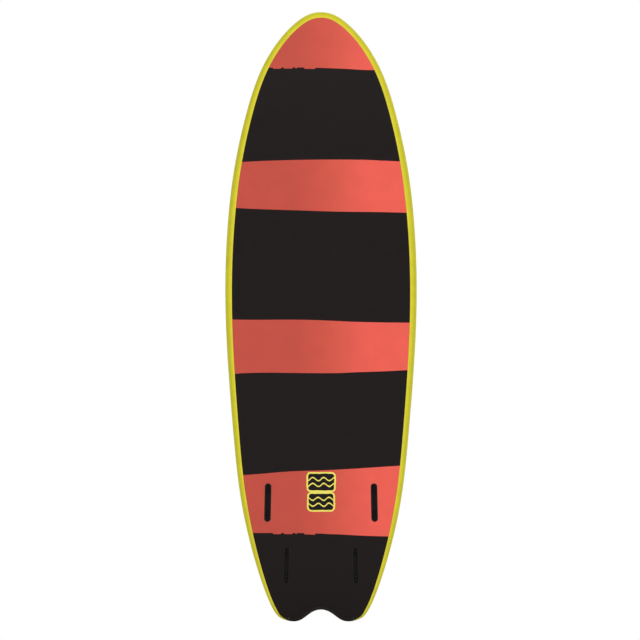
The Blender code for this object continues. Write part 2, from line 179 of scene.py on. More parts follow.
LEASH_FLANGE_THICKNESS = 0.0024
LEASH_CUP_RADIUS = 0.013
LEASH_CUP_DEPTH = 0.015
LEASH_WELL_RADIUS = 0.010
LEASH_WELL_DEPTH = 0.012
LEASH_PIN_RADIUS = 0.002
LEASH_PIN_LENGTH = 0.0245
LEASH_PIN_DEPTH = 0.0045

# The printed bottom, in millimetres: X across the board and Z from the tail tips. Each stripe edge
# is a line of places, from the nose to the tail, and the colour changes at each.
STRIPE_EDGES = (
    ((-150, 1523.5), (-50, 1523.8), (10, 1522.3), (76, 1519.5), (120, 1517), (150, 1516.5)),
    ((-214, 1263.8), (-111, 1268.2), (-12, 1270.2), (87, 1270.2), (175, 1267.2), (218, 1265.2)),
    ((-240, 1137.8), (-177, 1134.5), (-56, 1130.5), (54, 1127.2), (164, 1126), (240, 1124)),
    ((-245, 831.5), (-225, 830), (-56, 829.7), (32, 826.8), (87, 824.3), (142, 822.8), (245, 821.5)),
    ((-240, 680.8), (-144, 684.4), (-100, 683.8), (32, 683), (98, 685.5), (153, 687.3), (240, 691.4)),
    ((-218, 401.9), (-166, 405.8), (-78, 412.8), (0, 415.3), (43, 417.3), (131, 422.7), (218, 428.3)),
    ((-190, 243.2), (-50, 243), (-12, 242), (20, 240.3), (54, 239), (131, 235.2), (190, 233.6)),
)
RAGGED_EDGES = (0, 6)
# Where the brush dragged coral over a ragged edge: from X, to X, and how far.
DRAGS = ((-133, -109, 3.4), (-103, -78, 3.2), (-71, -66, 3.2), (-47, -15, 3.6))
# How long each drag's slopes are, and the X that the line of drags runs to on each side.
DRAG_ENDS = 1.5
DRAG_LIMIT = 200
# How soft and how uneven the edges are, and the room over and under the places of a line.
EDGE_SOFTNESS = 0.5
EDGE_WOBBLE = 0.7
CURVE_ROOM = 1

# Where the yellow of the rail thins out to a point over the tail tips: from Z, to Z, and how fast.
TAPER_ENDS = (2.0, 32.0)
TAPER_POWER = 0.6
TAPER_SOFTNESS = 0.06
RAIL_WOBBLE = 0.06

# The deck's pressed diamonds: their pitch in millimetres, the grooves between them, and their painted
# shade.
DIAMOND_PITCH = 12
GROOVE_SHARPNESS = 24.0
GROOVE_DEPTH = 0.0006
GROOVE_SHADE_SHARE = 0.5

# Most of what a noise texture gives lies between these.
NOISE_RANGE = (0.3, 0.7)

# Colours as they look on the board, in sRGB.
PRINT_BLACK = (24, 17, 17)
CORALS = (
    (-70, (196, 80, 67)),
    (0, (207, 85, 70)),
    (54, (218, 91, 75)),
    (109, (233, 94, 82)),
    (140, (238, 97, 83)),
)
YELLOW = (213, 203, 40)
# The next three are yellows of painted light and shade on the rail: paler where it lies flat, shaded where
# it turns, and less shaded on its side.
LIT_YELLOW = (224, 213, 56)
SHADED_YELLOW = (198, 192, 40)
SHADED_SIDE_YELLOW = (205, 201, 56)
# Painted shade in the deck's grooves.
GROOVE_SHADE_OLIVE = (172, 167, 44)
EMBLEM_YELLOW = (241, 229, 104)

# The emblem: two plates, one over the other, each with two waves.
EMBLEM_X = 0.2
PLATES = ((383.4, 40.5, 27.5, 0.0), (328.9, 38.5, 27.0, 0.5))
PLATE_ROUND = 12.0
PLATE_BORDER = 4.6
WAVE_LENGTH = 30.0
WAVE_HEIGHT = 4.2
WAVE_WIDTH = 1.9
WAVE_OFFSET = 8.0
EMBLEM_WOBBLE = 3.0

# The view: straight at the bottom, with the board a little above the middle.
VIEW_HEIGHT = 1.7606
VIEW_CENTRE = (-0.0028, 0.8291)
VIEW_DISTANCE = 6.0
FLOOR_SIZE = 240.0

# The light: how bright the even light is, and each sun's name, azimuth, elevation, strength and
# softness.
WORLD_LIGHT = 0.36
SUNS = (
    ("key", 38, 38, 1.14, 50),
    ("fill", -42, 30, 0.86, 70),
    ("back", 165, 40, 1.15, 60),
)


class Station(NamedTuple):
    """One place on the outline, with the line that runs from it to the centre line."""

    point: Vector
    inward: Vector
    spine: Vector
    lower_round: float
    upper_round: float


# Shape of the board


def lower_round(z):
    """Radius of the rail's lower round, from the (Z, radius) pairs."""
    if z <= LOWER_ROUNDS[0][0]:
        return LOWER_ROUNDS[0][1]
    for (low, before), (high, after) in zip(LOWER_ROUNDS[:-1], LOWER_ROUNDS[1:]):
        if z <= high:
            return before + (after - before) * (z - low) / (high - low)
    return LOWER_ROUNDS[-1][1]


def rocker(z):
    """Height of the bottom at HALF_WIDTH. Towards the centre line it rises by CONCAVE."""
    if z > FLATTEST_AT:
        return NOSE_ROCKER * ((z - FLATTEST_AT) / (LENGTH - FLATTEST_AT)) ** NOSE_ROCKER_POWER
    return TAIL_ROCKER * ((FLATTEST_AT - z) / FLATTEST_AT) ** TAIL_ROCKER_POWER


def thickness(z):
    """Height of the deck's centre line above the rocker."""
    if z > THICKEST_AT:
        share = (z - THICKEST_AT) / (LENGTH - THICKEST_AT)
        return THICKNESS - (THICKNESS - NOSE_TIP_THICKNESS) * share**FOIL_POWER
    share = (THICKEST_AT - z) / THICKEST_AT
    return THICKNESS - (THICKNESS - TAIL_TIP_THICKNESS) * share**FOIL_POWER


def bottom_height(x, z):
    return rocker(z) + CONCAVE * (1 - (x / HALF_WIDTH) ** 2)


def deck_height(x, z):
    return rocker(z) + thickness(z) * (1 - CAMBER * (x / HALF_WIDTH) ** 2)


def on_spline(points, share):
    """Point and direction on one span of a cubic B-spline, from its four control points."""
    rest = 1 - share
    weights = (
        rest**3,
        3 * share**3 - 6 * share**2 + 4,
        3 * rest**3 - 6 * rest**2 + 4,
        share**3,
    )
    slopes = (-rest * rest, 3 * share**2 - 4 * share, 4 * rest - 3 * rest**2, share * share)
    point = sum((p * w for p, w in zip(points, weights)), Vector((0, 0))) / 6
    along = sum((p * w for p, w in zip(points, slopes)), Vector((0, 0)))
    return point, along.normalized()


def outline():
    """Points of the half outline and their directions, from the notch to the nose."""
    points = [Vector(point) for point in OUTLINE]
    points = [points[1] * Vector((-1, 1))] + points + [points[-2] * Vector((-1, 1))]
    found = []
    for index in range(len(points) - 3):
        span = points[index : index + 4]
        turn = on_spline(span, 0)[1].angle(on_spline(span, 1)[1])
        steps = max(LEAST_STEPS, math.ceil(turn / TURN_PER_STEP))
        found += [on_spline(span, step / steps) for step in range(steps)]
    found.append(on_spline(span, 1))
    return found


def with_seam_rows(places):
    """The outline's places on each side of the seam where the rail band meets the tail bumper."""
    run = 0.0
    before, across, after = [], [], []
    for (point, along), (next_point, next_along) in zip(places[:-1], places[1:]):
        if run < TAIL_SEAM - 2 * SEAM_ROW:
            before.append((point, along))
        elif run > TAIL_SEAM + 2 * SEAM_ROW:
            after.append((point, along))
        step = (next_point - point).length
        if run < TAIL_SEAM <= run + step:
            offsets = (-SEAM_ROW, -SEAM_GAP, SEAM_GAP, SEAM_ROW)
            shares = [(TAIL_SEAM - run + offset) / step for offset in offsets]
            across = [(point.lerp(next_point, s), along.lerp(next_along, s).normalized()) for s in shares]
        run += step
    after.append(places[-1])
    return before + across[:2], across[2:] + after


def stations(places):
    """A station for each place, with spine points spread evenly along the centre line."""
    runs = [0.0]
    for (point, _), (next_point, _) in zip(places[:-1], places[1:]):
        step = next_point - point
        runs.append(runs[-1] + abs(step.y) + SPINE_SPREAD * step.length)
    low, high = SPINE_ENDS
    found = []
    for (point, along), run in zip(places, runs):
        found.append(
            Station(
                point=point,
                inward=Vector((-along.y, along.x)),
                spine=Vector((0, low + (high - low) * run / runs[-1])),
                lower_round=lower_round(point.y),
                upper_round=UPPER_ROUND * thickness(point.y),
            )
        )
    return found


# A ring is a line of points at the same place in every section: "lower" or "upper", then
# ("arc", degrees up from the flat), ("inset", metres from the outline), ("edge", metres inside the
# round of the rail) or ("inner", share of the way from the edge zone to the centre line), and then
# how far it sinks into the board.


def ring_inset(station, ring):
    """How far a ring's point lies inside the outline."""
    side, kind, value, _ = ring
    radius = station.lower_round if side == "lower" else station.upper_round
    if kind == "arc":
        return radius * (1 - math.sin(math.radians(value)))
    if kind == "edge":
        return radius + value
    if kind == "inset":
        return value
    return max(station.upper_round, DECK_SEAM + DECK_EDGE_ROW) + EDGE_ROOM


def ring_point(station, ring):
    side, kind, value, sink = ring
    inset = ring_inset(station, ring)
    plan = station.point + station.inward * inset
    if kind == "inner":
        plan = plan.lerp(station.spine, value)
    share = inset / (station.lower_round if side == "lower" else station.upper_round)
    bottom, deck = bottom_height(*plan), deck_height(*plan)
    apex = bottom + APEX * (deck - bottom)
    flat = bottom + sink if side == "lower" else deck - sink
    rise = math.sqrt(1 - (1 - share) ** 2) if share < 1 else 1.0
    return (max(0.0, plan.x), apex + (flat - apex) * rise + board_y, plan.y + board_z)


INNER_SHARES = (0.0, 0.12, 0.25, 0.4, 0.55, 0.7, 0.85, 1.0)
SLICK_RINGS = [
    *[("lower", "inner", share, 0.0) for share in reversed(INNER_SHARES)],
    ("lower", "edge", 0.006, 0.0),
    ("lower", "edge", SEAM_ROW, 0.0),
    ("lower", "edge", SEAM_GAP, SEAM_SINK),
]
RAIL_RINGS = [
    ("lower", "edge", -SEAM_GAP, SEAM_SINK),
    ("lower", "edge", -SEAM_ROW, 0.0),
    *[("lower", "arc", degrees, 0.0) for degrees in range(15, 91, 7)],
    *[("upper", "arc", degrees, 0.0) for degrees in range(82, 29, -8)],
    ("upper", "inset", DECK_SEAM - SEAM_ROW, 0.0),
    ("upper", "inset", DECK_SEAM - SEAM_GAP, SEAM_SINK),
]
DECK_RINGS = [
    ("upper", "inset", DECK_SEAM + SEAM_GAP, SEAM_SINK),
    ("upper", "inset", DECK_SEAM + SEAM_ROW, 0.0),
    *[("upper", "inner", share, 0.0) for share in INNER_SHARES],
]


# Mesh tools


def collection(name):
    made = bpy.data.collections.new(name)
    bpy.context.scene.collection.children.link(made)
    return made


def add_mesh(name, points, faces):
    mesh = bpy.data.meshes.new(name)
    mesh.from_pydata(points, [], faces)
    made = bpy.data.objects.new(name, mesh)
    looks.objects.link(made)
    return made


def apply_modifiers(piece):
    """Gives the piece the mesh that its modifiers make, smooth but for its sharp edges."""
    graph = bpy.context.evaluated_depsgraph_get()
    mesh = bpy.data.meshes.new_from_object(piece.evaluated_get(graph))
    mesh.name = piece.name
    piece.modifiers.clear()
    piece.data = mesh
    mesh.shade_smooth()
    mesh.set_sharp_from_angle(angle=SHARP)


def place_piece(piece, node, body, material):
    """The piece stands for a CAD node, which it hides: it rides on its body and takes the material given.
    """
    piece.data.materials.clear()
    piece.data.materials.append(material)
    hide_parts(node)
    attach(piece, body)


def skin(name, places, rings, sheet, cutters=()):
    """A sheet over the stations and the rings, mirrored, as thick as the sheet, with its cut-outs.

    The attribute "across" runs from 0 at the rail's seam with the bottom, through 1 at the outline,
    to 2 at its seam with the deck.
    """
    rows = [[ring_point(place, ring) for ring in rings] for place in places]
    width = len(rings)
    faces = [
        (i * width + j, i * width + j + 1, (i + 1) * width + j + 1, (i + 1) * width + j)
        for i in range(len(rows) - 1)
        for j in range(width - 1)
    ]
    piece = add_mesh(name, [point for row in rows for point in row], faces)
    across = piece.data.attributes.new("across", "FLOAT", "POINT")
    for i, place in enumerate(places):
        for j, ring in enumerate(rings):
            inset = ring_inset(place, ring)
            lower = ring[0] == "lower"
            turned = 1 - inset / place.lower_round if lower else 1 + inset / DECK_SEAM
            across.data[i * width + j].value = turned
    modifier = piece.modifiers.new("Mirror", "MIRROR")
    modifier.merge_threshold = MIRROR_MERGE
    modifier = piece.modifiers.new("Solidify", "SOLIDIFY")
    modifier.thickness = sheet
    modifier.offset = -1
    modifier.use_even_offset = True
    for cutter in cutters:
        modifier = piece.modifiers.new("Cut", "BOOLEAN")
        modifier.object = cutter
    apply_modifiers(piece)
    return piece


def loft_rings(rings, reach=0.0, along=0.0, closed=False):
    """Points and faces of a loft along Z. A ring is (radius, height) or (radius, height, sides).

    A ring with sides is a polygon. Reach draws the ring's halves apart along Y, to a long shape,
    and along moves the loft on Y. A closed loft joins its last ring to its first; any other is
    capped at both ends.
    """
    points, faces = [], []
    for ring in rings:
        radius, height, sides = (*ring, 0)[:3]
        for step in range(ROUND_STEPS):
            turn = 2 * math.pi * (step + 0.5) / ROUND_STEPS
            size = radius
            if sides:
                across = (turn % (2 * math.pi / sides)) - math.pi / sides
                size = radius * math.cos(math.pi / sides) / math.cos(across)
            side = along + (reach if turn < math.pi else -reach)
            points.append((size * math.cos(turn), size * math.sin(turn) + side, height))
    count = len(rings) if closed else len(rings) - 1
    for ring in range(count):
        low, high = ring * ROUND_STEPS, (ring + 1) % len(rings) * ROUND_STEPS
        for step in range(ROUND_STEPS):
            after = (step + 1) % ROUND_STEPS
            faces.append((low + step, low + after, high + after, high + step))
    if not closed:
        faces.append(tuple(reversed(range(ROUND_STEPS))))
        faces.append(tuple(range((len(rings) - 1) * ROUND_STEPS, len(rings) * ROUND_STEPS)))
    return points, faces


def loft(name, frame, *shapes):
    """One mesh of several lofts, each (rings, options), in a frame."""
    points, faces = [], []
    for rings, options in shapes:
        more_points, more_faces = loft_rings(rings, **options)
        faces += [tuple(index + len(points) for index in face) for face in more_faces]
        points += [frame @ Vector(point) for point in more_points]
    piece = add_mesh(name, points, faces)
    surface = bmesh.new()
    surface.from_mesh(piece.data)
    bmesh.ops.recalc_face_normals(surface, faces=surface.faces)
    surface.to_mesh(piece.data)
    surface.free()
    piece.data.shade_smooth()
    piece.data.set_sharp_from_angle(angle=SHARP)
    return piece


def join(piece, other):
    """Adds the other's mesh to the piece and removes the other."""
    surface = bmesh.new()
    surface.from_mesh(piece.data)
    surface.from_mesh(other.data)
    surface.to_mesh(piece.data)
    surface.free()
    bpy.data.objects.remove(other)


def cutter(name, frame, radius, low, high, reach=0.0):
    made = loft(name, frame, ([(radius, low), (radius, high)], {"reach": reach}))
    cutters.append(made)
    return made


# Places


def facing_frame(x, z, height, turn):
    """A frame on a skin: local Z along the skin's normal, towards the deck, and Y to the nose."""
    slope_x = (height(x + SLOPE_STEP, z) - height(x - SLOPE_STEP, z)) / (2 * SLOPE_STEP)
    slope_z = (height(x, z + SLOPE_STEP) - height(x, z - SLOPE_STEP)) / (2 * SLOPE_STEP)
    normal = Vector((-slope_x, 1, -slope_z)).normalized()
    along = Vector((math.sin(turn), 0, math.cos(turn)))
    along = (along - normal * along.dot(normal)).normalized()
    made = Matrix((along.cross(normal), along, normal)).transposed().to_4x4()
    made.translation = Vector((x, height(x, z) + board_y, z + board_z))
    return made


def depth_to_deck(place, along):
    """How far the deck lies from a point on a fin cup's frame, measured along its Z."""
    low, high = 0.0, 2 * THICKNESS
    for _ in range(HALVINGS):
        middle = (low + high) / 2
        point = place @ Vector((0, along, middle))
        if point.y - board_y < deck_height(point.x, point.z - board_z):
            low = middle
        else:
            high = middle
    return low


def fin_places():
    """(pair, side, frame, post top, bolt length, [(end, frame of its bush)]) of each fin cup."""
    found = []
    for pair, x, z, post_top, bolt_length in FIN_CUPS:
        for side, sign in (("left", -1), ("right", 1)):
            place = facing_frame(sign * x, z, bottom_height, -sign * TOE_IN)
            bushes = []
            for end, along in (("aft", -BOLT_SPACING / 2), ("fore", BOLT_SPACING / 2)):
                top = depth_to_deck(place, along) - BUSH_SINK
                bushes.append((end, place @ Matrix.Translation((0, along, top))))
            found.append((pair, side, place, post_top, bolt_length, bushes))
    return found


# Materials


def linear(colour):
    """An sRGB colour of 0 to 255 as a linear one, with alpha."""
    shares = [channel / 255 for channel in colour]
    return (*[s / 12.92 if s <= 0.04045 else ((s + 0.055) / 1.055) ** 2.4 for s in shares], 1.0)


class Graph:
    """A material's nodes, with short ways to add and join them."""

    def __init__(self, name, roughness, specular=0.5, metallic=0.0):
        self.material = bpy.data.materials.new(name)
        self.material.use_nodes = True
        self.tree = self.material.node_tree
        self.shader = self.tree.nodes["Principled BSDF"]
        self.shader.inputs["Roughness"].default_value = roughness
        self.shader.inputs["Specular IOR Level"].default_value = specular
        self.shader.inputs["Metallic"].default_value = metallic
        self.place = self.node("TexCoord").outputs["Object"]
        self.normal = None

    def feed(self, socket, value):
        if isinstance(value, bpy.types.NodeSocket):
            self.tree.links.new(value, socket)
        else:
            socket.default_value = value

    def node(self, kind, inputs=(), **settings):
        made = self.tree.nodes.new("ShaderNode" + kind)
        for key, value in settings.items():
            setattr(made, key, value)
        for key, value in dict(inputs).items():
            self.feed(made.inputs[key], value)
        return made

    def math(self, operation, *values, clamp=False):
        made = self.node("Math", operation=operation, use_clamp=clamp)
        for socket, value in zip(made.inputs, values):
            self.feed(socket, value)
        return made.outputs[0]

    def largest(self, values):
        found = values[0]
        for value in values[1:]:
            found = self.math("MAXIMUM", found, value)
        return found

    def millimetres(self):
        """X and Z of the place, in millimetres."""
        apart = self.node("SeparateXYZ", {"Vector": self.place}).outputs
        return [self.math("MULTIPLY", apart[axis], 1000.0) for axis in ("X", "Z")]

    def stretched(self, scale):
        return self.node("Mapping", {"Vector": self.place, "Scale": scale}).outputs["Vector"]

    def noise(self, size, detail=2.0, vector=None):
        """Noise from 0 to 1, whose lumps are about size metres across."""
        inputs = {"Vector": vector or self.place, "Scale": 1 / size, "Detail": detail}
        return self.node("TexNoise", inputs).outputs["Fac"]

    def cells(self, size, feature="F1", vector=None):
        inputs = {"Vector": vector or self.place, "Scale": 1 / size}
        return self.node("TexVoronoi", inputs, feature=feature).outputs["Distance"]

    def mix(self, share, first, second):
        made = self.node("Mix", data_type="RGBA")
        self.feed(made.inputs[0], share)
        self.feed(made.inputs[6], first)
        self.feed(made.inputs[7], second)
        return made.outputs[2]

    def ramp(self, share, stops):
        """A colour ramp of (place, colour) stops."""
        made = self.node("ValToRGB", {"Fac": share})
        while len(made.color_ramp.elements) < len(stops):
            made.color_ramp.elements.new(0.5)
        for element, (place, colour) in zip(made.color_ramp.elements, stops):
            element.position = place
            element.color = colour
        return made.outputs["Color"]

    def patches(self, low, high, size, detail):
        """Noise that runs from low to high."""
        least, most = NOISE_RANGE
        inputs = {"Value": self.noise(size, detail), "From Min": least, "From Max": most}
        return self.node("MapRange", {**inputs, "To Min": low, "To Max": high}).outputs["Result"]

    def shade(self, colour, low, high, size, detail=3.0):
        """The colour, made darker and lighter in soft patches."""
        grey = self.patches(low, high, size, detail)
        made = self.node("Mix", data_type="RGBA", blend_type="MULTIPLY")
        self.feed(made.inputs[0], 1.0)
        self.feed(made.inputs[6], colour)
        self.feed(made.inputs[7], grey)
        return made.outputs[2]

    def roughen(self, low, high, size):
        """Roughness that runs from low to high in patches."""
        self.feed(self.shader.inputs["Roughness"], self.patches(low, high, size, 4.0))

    def bump(self, height, distance, strength=1.0):
        """Adds a relief: the height, from 0 to 1, times the distance in metres."""
        inputs = {"Height": height, "Distance": distance, "Strength": strength}
        made = self.node("Bump", inputs)
        if self.normal:
            self.feed(made.inputs["Normal"], self.normal)
        self.normal = made.outputs["Normal"]

    def finish(self, colour):
        self.feed(self.shader.inputs["Base Color"], colour)
        if self.normal:
            self.feed(self.shader.inputs["Normal"], self.normal)
        return self.material


def curve_through(graph, value, points, smooth):
    """A line through (place, height) points, as a curve of the value, all in the same unit."""
    low, high = points[0][0], points[-1][0]
    heights = [height for _, height in points]
    least, span = min(heights) - CURVE_ROOM, max(heights) - min(heights) + 2 * CURVE_ROOM
    share = graph.math("DIVIDE", graph.math("SUBTRACT", value, low), high - low)
    made = graph.node("FloatCurve", {"Value": share})
    line = made.mapping.curves[0]
    while len(line.points) < len(points):
        line.points.new(0.5, 0.5)
    for spot, (place, height) in zip(line.points, points):
        spot.location = ((place - low) / (high - low), (height - least) / span)
        spot.handle_type = "AUTO" if smooth else "VECTOR"
    made.mapping.update()
    return graph.math("MULTIPLY_ADD", made.outputs["Value"], span, least)


def drag_line():
    """How far coral is dragged over a ragged edge, as (X, distance) points."""
    points = [(-DRAG_LIMIT, 0)]
    for start, end, depth in DRAGS:
        points += [(start, 0), (start + DRAG_ENDS, depth), (end - DRAG_ENDS, depth), (end, 0)]
    return points + [(DRAG_LIMIT, 0)]


def stripes(graph, x, z):
    """1 on the coral stripes and 0 on the black ones."""
    wobble = graph.noise(0.012, 3.0)
    z = graph.math("MULTIPLY_ADD", graph.math("SUBTRACT", wobble, 0.5), EDGE_WOBBLE, z)
    drag = curve_through(graph, x, drag_line(), smooth=False)
    total = None
    for index, points in enumerate(STRIPE_EDGES):
        edge = curve_through(graph, x, points, smooth=True)
        if index in RAGGED_EDGES:
            edge = graph.math("SUBTRACT", edge, drag)
        above = graph.math("SUBTRACT", z, edge)
        above = graph.math("MULTIPLY_ADD", above, 1 / EDGE_SOFTNESS, 0.5, clamp=True)
        sign = 1.0 if index % 2 == 0 else -1.0
        total = graph.math("MULTIPLY_ADD", above, sign, total or 0.0)
    return total


def plate_distance(graph, x, z, middle, half_width, half_height):
    """Distance outside a plate of the emblem, in millimetres; less than 0 inside it."""
    beyond = []
    for value, centre, half in ((x, EMBLEM_X, half_width), (z, middle, half_height)):
        away = graph.math("ABSOLUTE", graph.math("SUBTRACT", value, centre))
        past = graph.math("SUBTRACT", away, half - PLATE_ROUND)
        beyond.append(graph.math("POWER", graph.math("MAXIMUM", past, 0.0), 2.0))
    return graph.math("SUBTRACT", graph.math("SQRT", graph.math("ADD", *beyond)), PLATE_ROUND)


def inside(graph, distance, margin=0.0):
    """1 where the distance is under minus the margin, with a soft edge."""
    past = graph.math("ADD", distance, margin)
    return graph.math("MULTIPLY_ADD", past, -1 / EDGE_SOFTNESS, 0.5, clamp=True)


def wave(graph, x, z, middle, phase):
    """1 on a wave across a plate."""
    turn = graph.math("MULTIPLY_ADD", x, 2 * math.pi / WAVE_LENGTH, 2 * math.pi * phase)
    height = graph.math("MULTIPLY_ADD", graph.math("SINE", turn), WAVE_HEIGHT, middle)
    return inside(graph, graph.math("ABSOLUTE", graph.math("SUBTRACT", z, height)), -WAVE_WIDTH)


def emblem(graph, x, z):
    """Two masks: the emblem's yellow ground, and what is black on it."""
    wobble = graph.math("MULTIPLY_ADD", graph.noise(0.014, 2.0), EMBLEM_WOBBLE, -EMBLEM_WOBBLE / 2)
    x, z = graph.math("ADD", x, wobble), graph.math("SUBTRACT", z, wobble)
    grounds, blacks = [], []
    for middle, half_width, half_height, phase in PLATES:
        distance = plate_distance(graph, x, z, middle, half_width, half_height)
        grounds.append(inside(graph, distance))
        waves = [wave(graph, x, z, middle + side * WAVE_OFFSET, phase) for side in (-1, 1)]
        field = inside(graph, distance, PLATE_BORDER)
        blacks.append(graph.math("SUBTRACT", field, graph.largest(waves), clamp=True))
    return graph.largest(grounds), graph.largest(blacks)


def slick_material():
    """Printed plastic sheet: hard, smooth and a little worn along the length."""
    graph = Graph("slick_print", 0.42, specular=0.15)
    x, z = graph.millimetres()
    low, high = CORALS[0][0], CORALS[-1][0]
    share = graph.math("DIVIDE", graph.math("SUBTRACT", x, low), high - low)
    coral = graph.ramp(share, [((place - low) / (high - low), linear(colour)) for place, colour in CORALS])
    colour = graph.mix(stripes(graph, x, z), linear(PRINT_BLACK), coral)
    ground, black = emblem(graph, x, z)
    colour = graph.mix(ground, colour, linear(EMBLEM_YELLOW))
    colour = graph.mix(black, colour, linear(PRINT_BLACK))
    colour = graph.shade(colour, 0.97, 1.03, 0.05)
    graph.roughen(0.36, 0.50, 0.03)
    graph.bump(graph.noise(0.0016, 2.0), 0.00004)
    graph.bump(graph.noise(0.0022, 2.0, graph.stretched((1.0, 1.0, 0.03))), 0.00003)
    return graph.finish(colour)


def foam_material(name, colour, size, depth, roughness=0.72):
    """Closed-cell foam with a pebbled skin."""
    graph = Graph(name, roughness, specular=0.22)
    colour = graph.shade(colour(graph) if callable(colour) else colour, 0.95, 1.05, 0.03)
    graph.roughen(roughness - 0.06, roughness + 0.06, 0.008)
    graph.bump(graph.cells(size), depth)
    graph.bump(graph.noise(size / 3, 3.0), depth / 2)
    return graph.finish(colour)


def rail_colour_with_painted_shade(graph):
    """Yellow with painted light and shade: paler along the seam with the bottom and deeper where the rail
    starts to turn.

    Black takes its place near the tail tips, from the seam out: none of the lower round at the
    taper's upper end, and all of it at the lower end.
    """
    across = graph.node("Attribute", attribute_name="across").outputs["Fac"]
    wobble = graph.math("MULTIPLY_ADD", graph.noise(0.02), RAIL_WOBBLE, -RAIL_WOBBLE / 2)
    place = graph.math("MULTIPLY", graph.math("ADD", across, wobble), 0.5)
    # Painted light and shade across the rail: a paler band by the seam, a shaded band where the rail starts
    # to turn, and a less shaded side.
    stops = (
        (0.0, linear(LIT_YELLOW)),
        (0.06, linear(LIT_YELLOW)),
        (0.16, linear(YELLOW)),
        (0.24, linear(YELLOW)),
        (0.32, linear(SHADED_YELLOW)),
        (0.36, linear(SHADED_YELLOW)),
        (0.43, linear(SHADED_SIDE_YELLOW)),
        (0.75, linear(YELLOW)),
    )
    _, z = graph.millimetres()
    low, high = TAPER_ENDS
    width = graph.math("DIVIDE", graph.math("SUBTRACT", z, low), high - low, clamp=True)
    width = graph.math("POWER", width, TAPER_POWER)
    yellow = graph.math("SUBTRACT", graph.math("ADD", width, across), 1.0)
    yellow = graph.math("MULTIPLY_ADD", yellow, 1 / TAPER_SOFTNESS, 0.5, clamp=True)
    return graph.mix(yellow, linear(PRINT_BLACK), graph.ramp(place, stops))


def deck_material():
    """Yellow foam, pressed in a diamond pattern for grip, with painted shade in the grooves."""
    graph = Graph("deck_foam", 0.75, specular=0.2)
    x, z = graph.millimetres()
    lines = []
    for sign in (1.0, -1.0):
        turn = graph.math("MULTIPLY", graph.math("MULTIPLY_ADD", x, sign, z), math.pi / DIAMOND_PITCH)
        near = graph.math("ABSOLUTE", graph.math("COSINE", turn))
        lines.append(graph.math("POWER", near, GROOVE_SHARPNESS))
    groove = graph.largest(lines)
    colour = graph.shade(linear(YELLOW), 0.98, 1.02, 0.12)
    # Painted shade: the grooves are darkened towards olive.
    colour = graph.mix(graph.math("MULTIPLY", groove, GROOVE_SHADE_SHARE), colour, linear(GROOVE_SHADE_OLIVE))
    graph.roughen(0.68, 0.82, 0.01)
    graph.bump(graph.math("SUBTRACT", 1.0, groove), GROOVE_DEPTH)
    graph.bump(graph.cells(0.0022), 0.0002)
    return graph.finish(colour)


def plastic_material(name, colour, roughness, size=0.0006):
    """Moulded plastic with a fine spark-eroded grain."""
    graph = Graph(name, roughness, specular=0.2)
    graph.roughen(roughness - 0.07, roughness + 0.07, 0.004)
    graph.bump(graph.noise(size, 3.0), 0.00003)
    return graph.finish(graph.shade(linear(colour), 0.9, 1.1, 0.006))


def steel_material():
    """Stainless steel, brushed round."""
    graph = Graph("brushed_stainless", 0.3, metallic=1.0)
    graph.roughen(0.22, 0.4, 0.002)
    graph.bump(graph.noise(0.0004, 2.0, graph.stretched((0.05, 1.0, 1.0))), 0.00001)
    return graph.finish(graph.shade(linear((205, 205, 203)), 0.93, 1.05, 0.002))


def bead_material():
    """Foam of fused beads."""
    graph = Graph("bead_foam", 0.9, specular=0.15)
    edges = graph.cells(0.003, "DISTANCE_TO_EDGE")
    graph.bump(graph.math("MINIMUM", graph.math("MULTIPLY", edges, 6.0), 1.0), 0.0003)
    return graph.finish(graph.shade(linear((240, 240, 236)), 0.96, 1.02, 0.003))


def plywood_material():
    """Plywood with its grain along the board."""
    graph = Graph("plywood_grain", 0.6, specular=0.3)
    grain = graph.noise(0.004, 5.0, graph.stretched((1.0, 1.0, 0.05)))
    colour = graph.ramp(grain, ((0.35, linear((150, 104, 60))), (0.65, linear((203, 160, 108)))))
    graph.bump(grain, 0.0001)
    return graph.finish(colour)


# Pieces


def make_skins(fins, leash):
    """The printed bottom, the foam rail, the foam tail and the foam deck, cut out for the fittings."""
    places_tail, places_rail = with_seam_rows(outline())
    everywhere = stations(places_tail + places_rail)
    tail, rail = everywhere[: len(places_tail)], everywhere[len(places_tail) :]
    reach = (CUP_LENGTH - CUP_WIDTH) / 2
    slots, holes = [], []
    for pair, side, place, _, _, bushes in fins:
        radius = CUP_WIDTH / 2 + SLOT_ROOM
        slots.append(cutter(f"slot_{pair}_{side}", place, radius, -SLOT_REACH, SLOT_REACH, reach))
        for end, seat in bushes:
            radius = BUSH_FLANGE_RADIUS + HOLE_ROOM
            name = f"hole_{pair}_{side}_{end}"
            holes.append(cutter(name, seat, radius, -HOLE_REACH, HOLE_REACH))
    radius = LEASH_FLANGE_RADIUS + HOLE_ROOM
    holes.append(cutter("hole_leash", leash, radius, -HOLE_REACH, HOLE_REACH))
    black_foam = foam_material("tail_foam", linear(PRINT_BLACK), 0.0018, 0.00008, roughness=0.6)
    rail_foam = foam_material("rail_foam", rail_colour_with_painted_shade, 0.0018, 0.00012)
    printed, deck_foam = slick_material(), deck_material()
    sheets = (
        ("printed_bottom", SLICK_RINGS, everywhere, SLICK, slots, "bottom_slick", "black_slick", printed),
        ("foam_rail", RAIL_RINGS, rail, SOFT_SKIN, (), "rail_band", "yellow_foam", rail_foam),
        ("foam_tail", RAIL_RINGS, tail, SOFT_SKIN, (), "tail_bumper", "black_foam", black_foam),
        ("foam_deck", DECK_RINGS, everywhere, SOFT_SKIN, holes, "deck_skin", "yellow_foam", deck_foam),
    )
    for name, rings, places, sheet, cuts, node, slot, material in sheets:
        piece = skin(name, places, rings, sheet, cuts)
        place_piece(piece, node, "board", material)


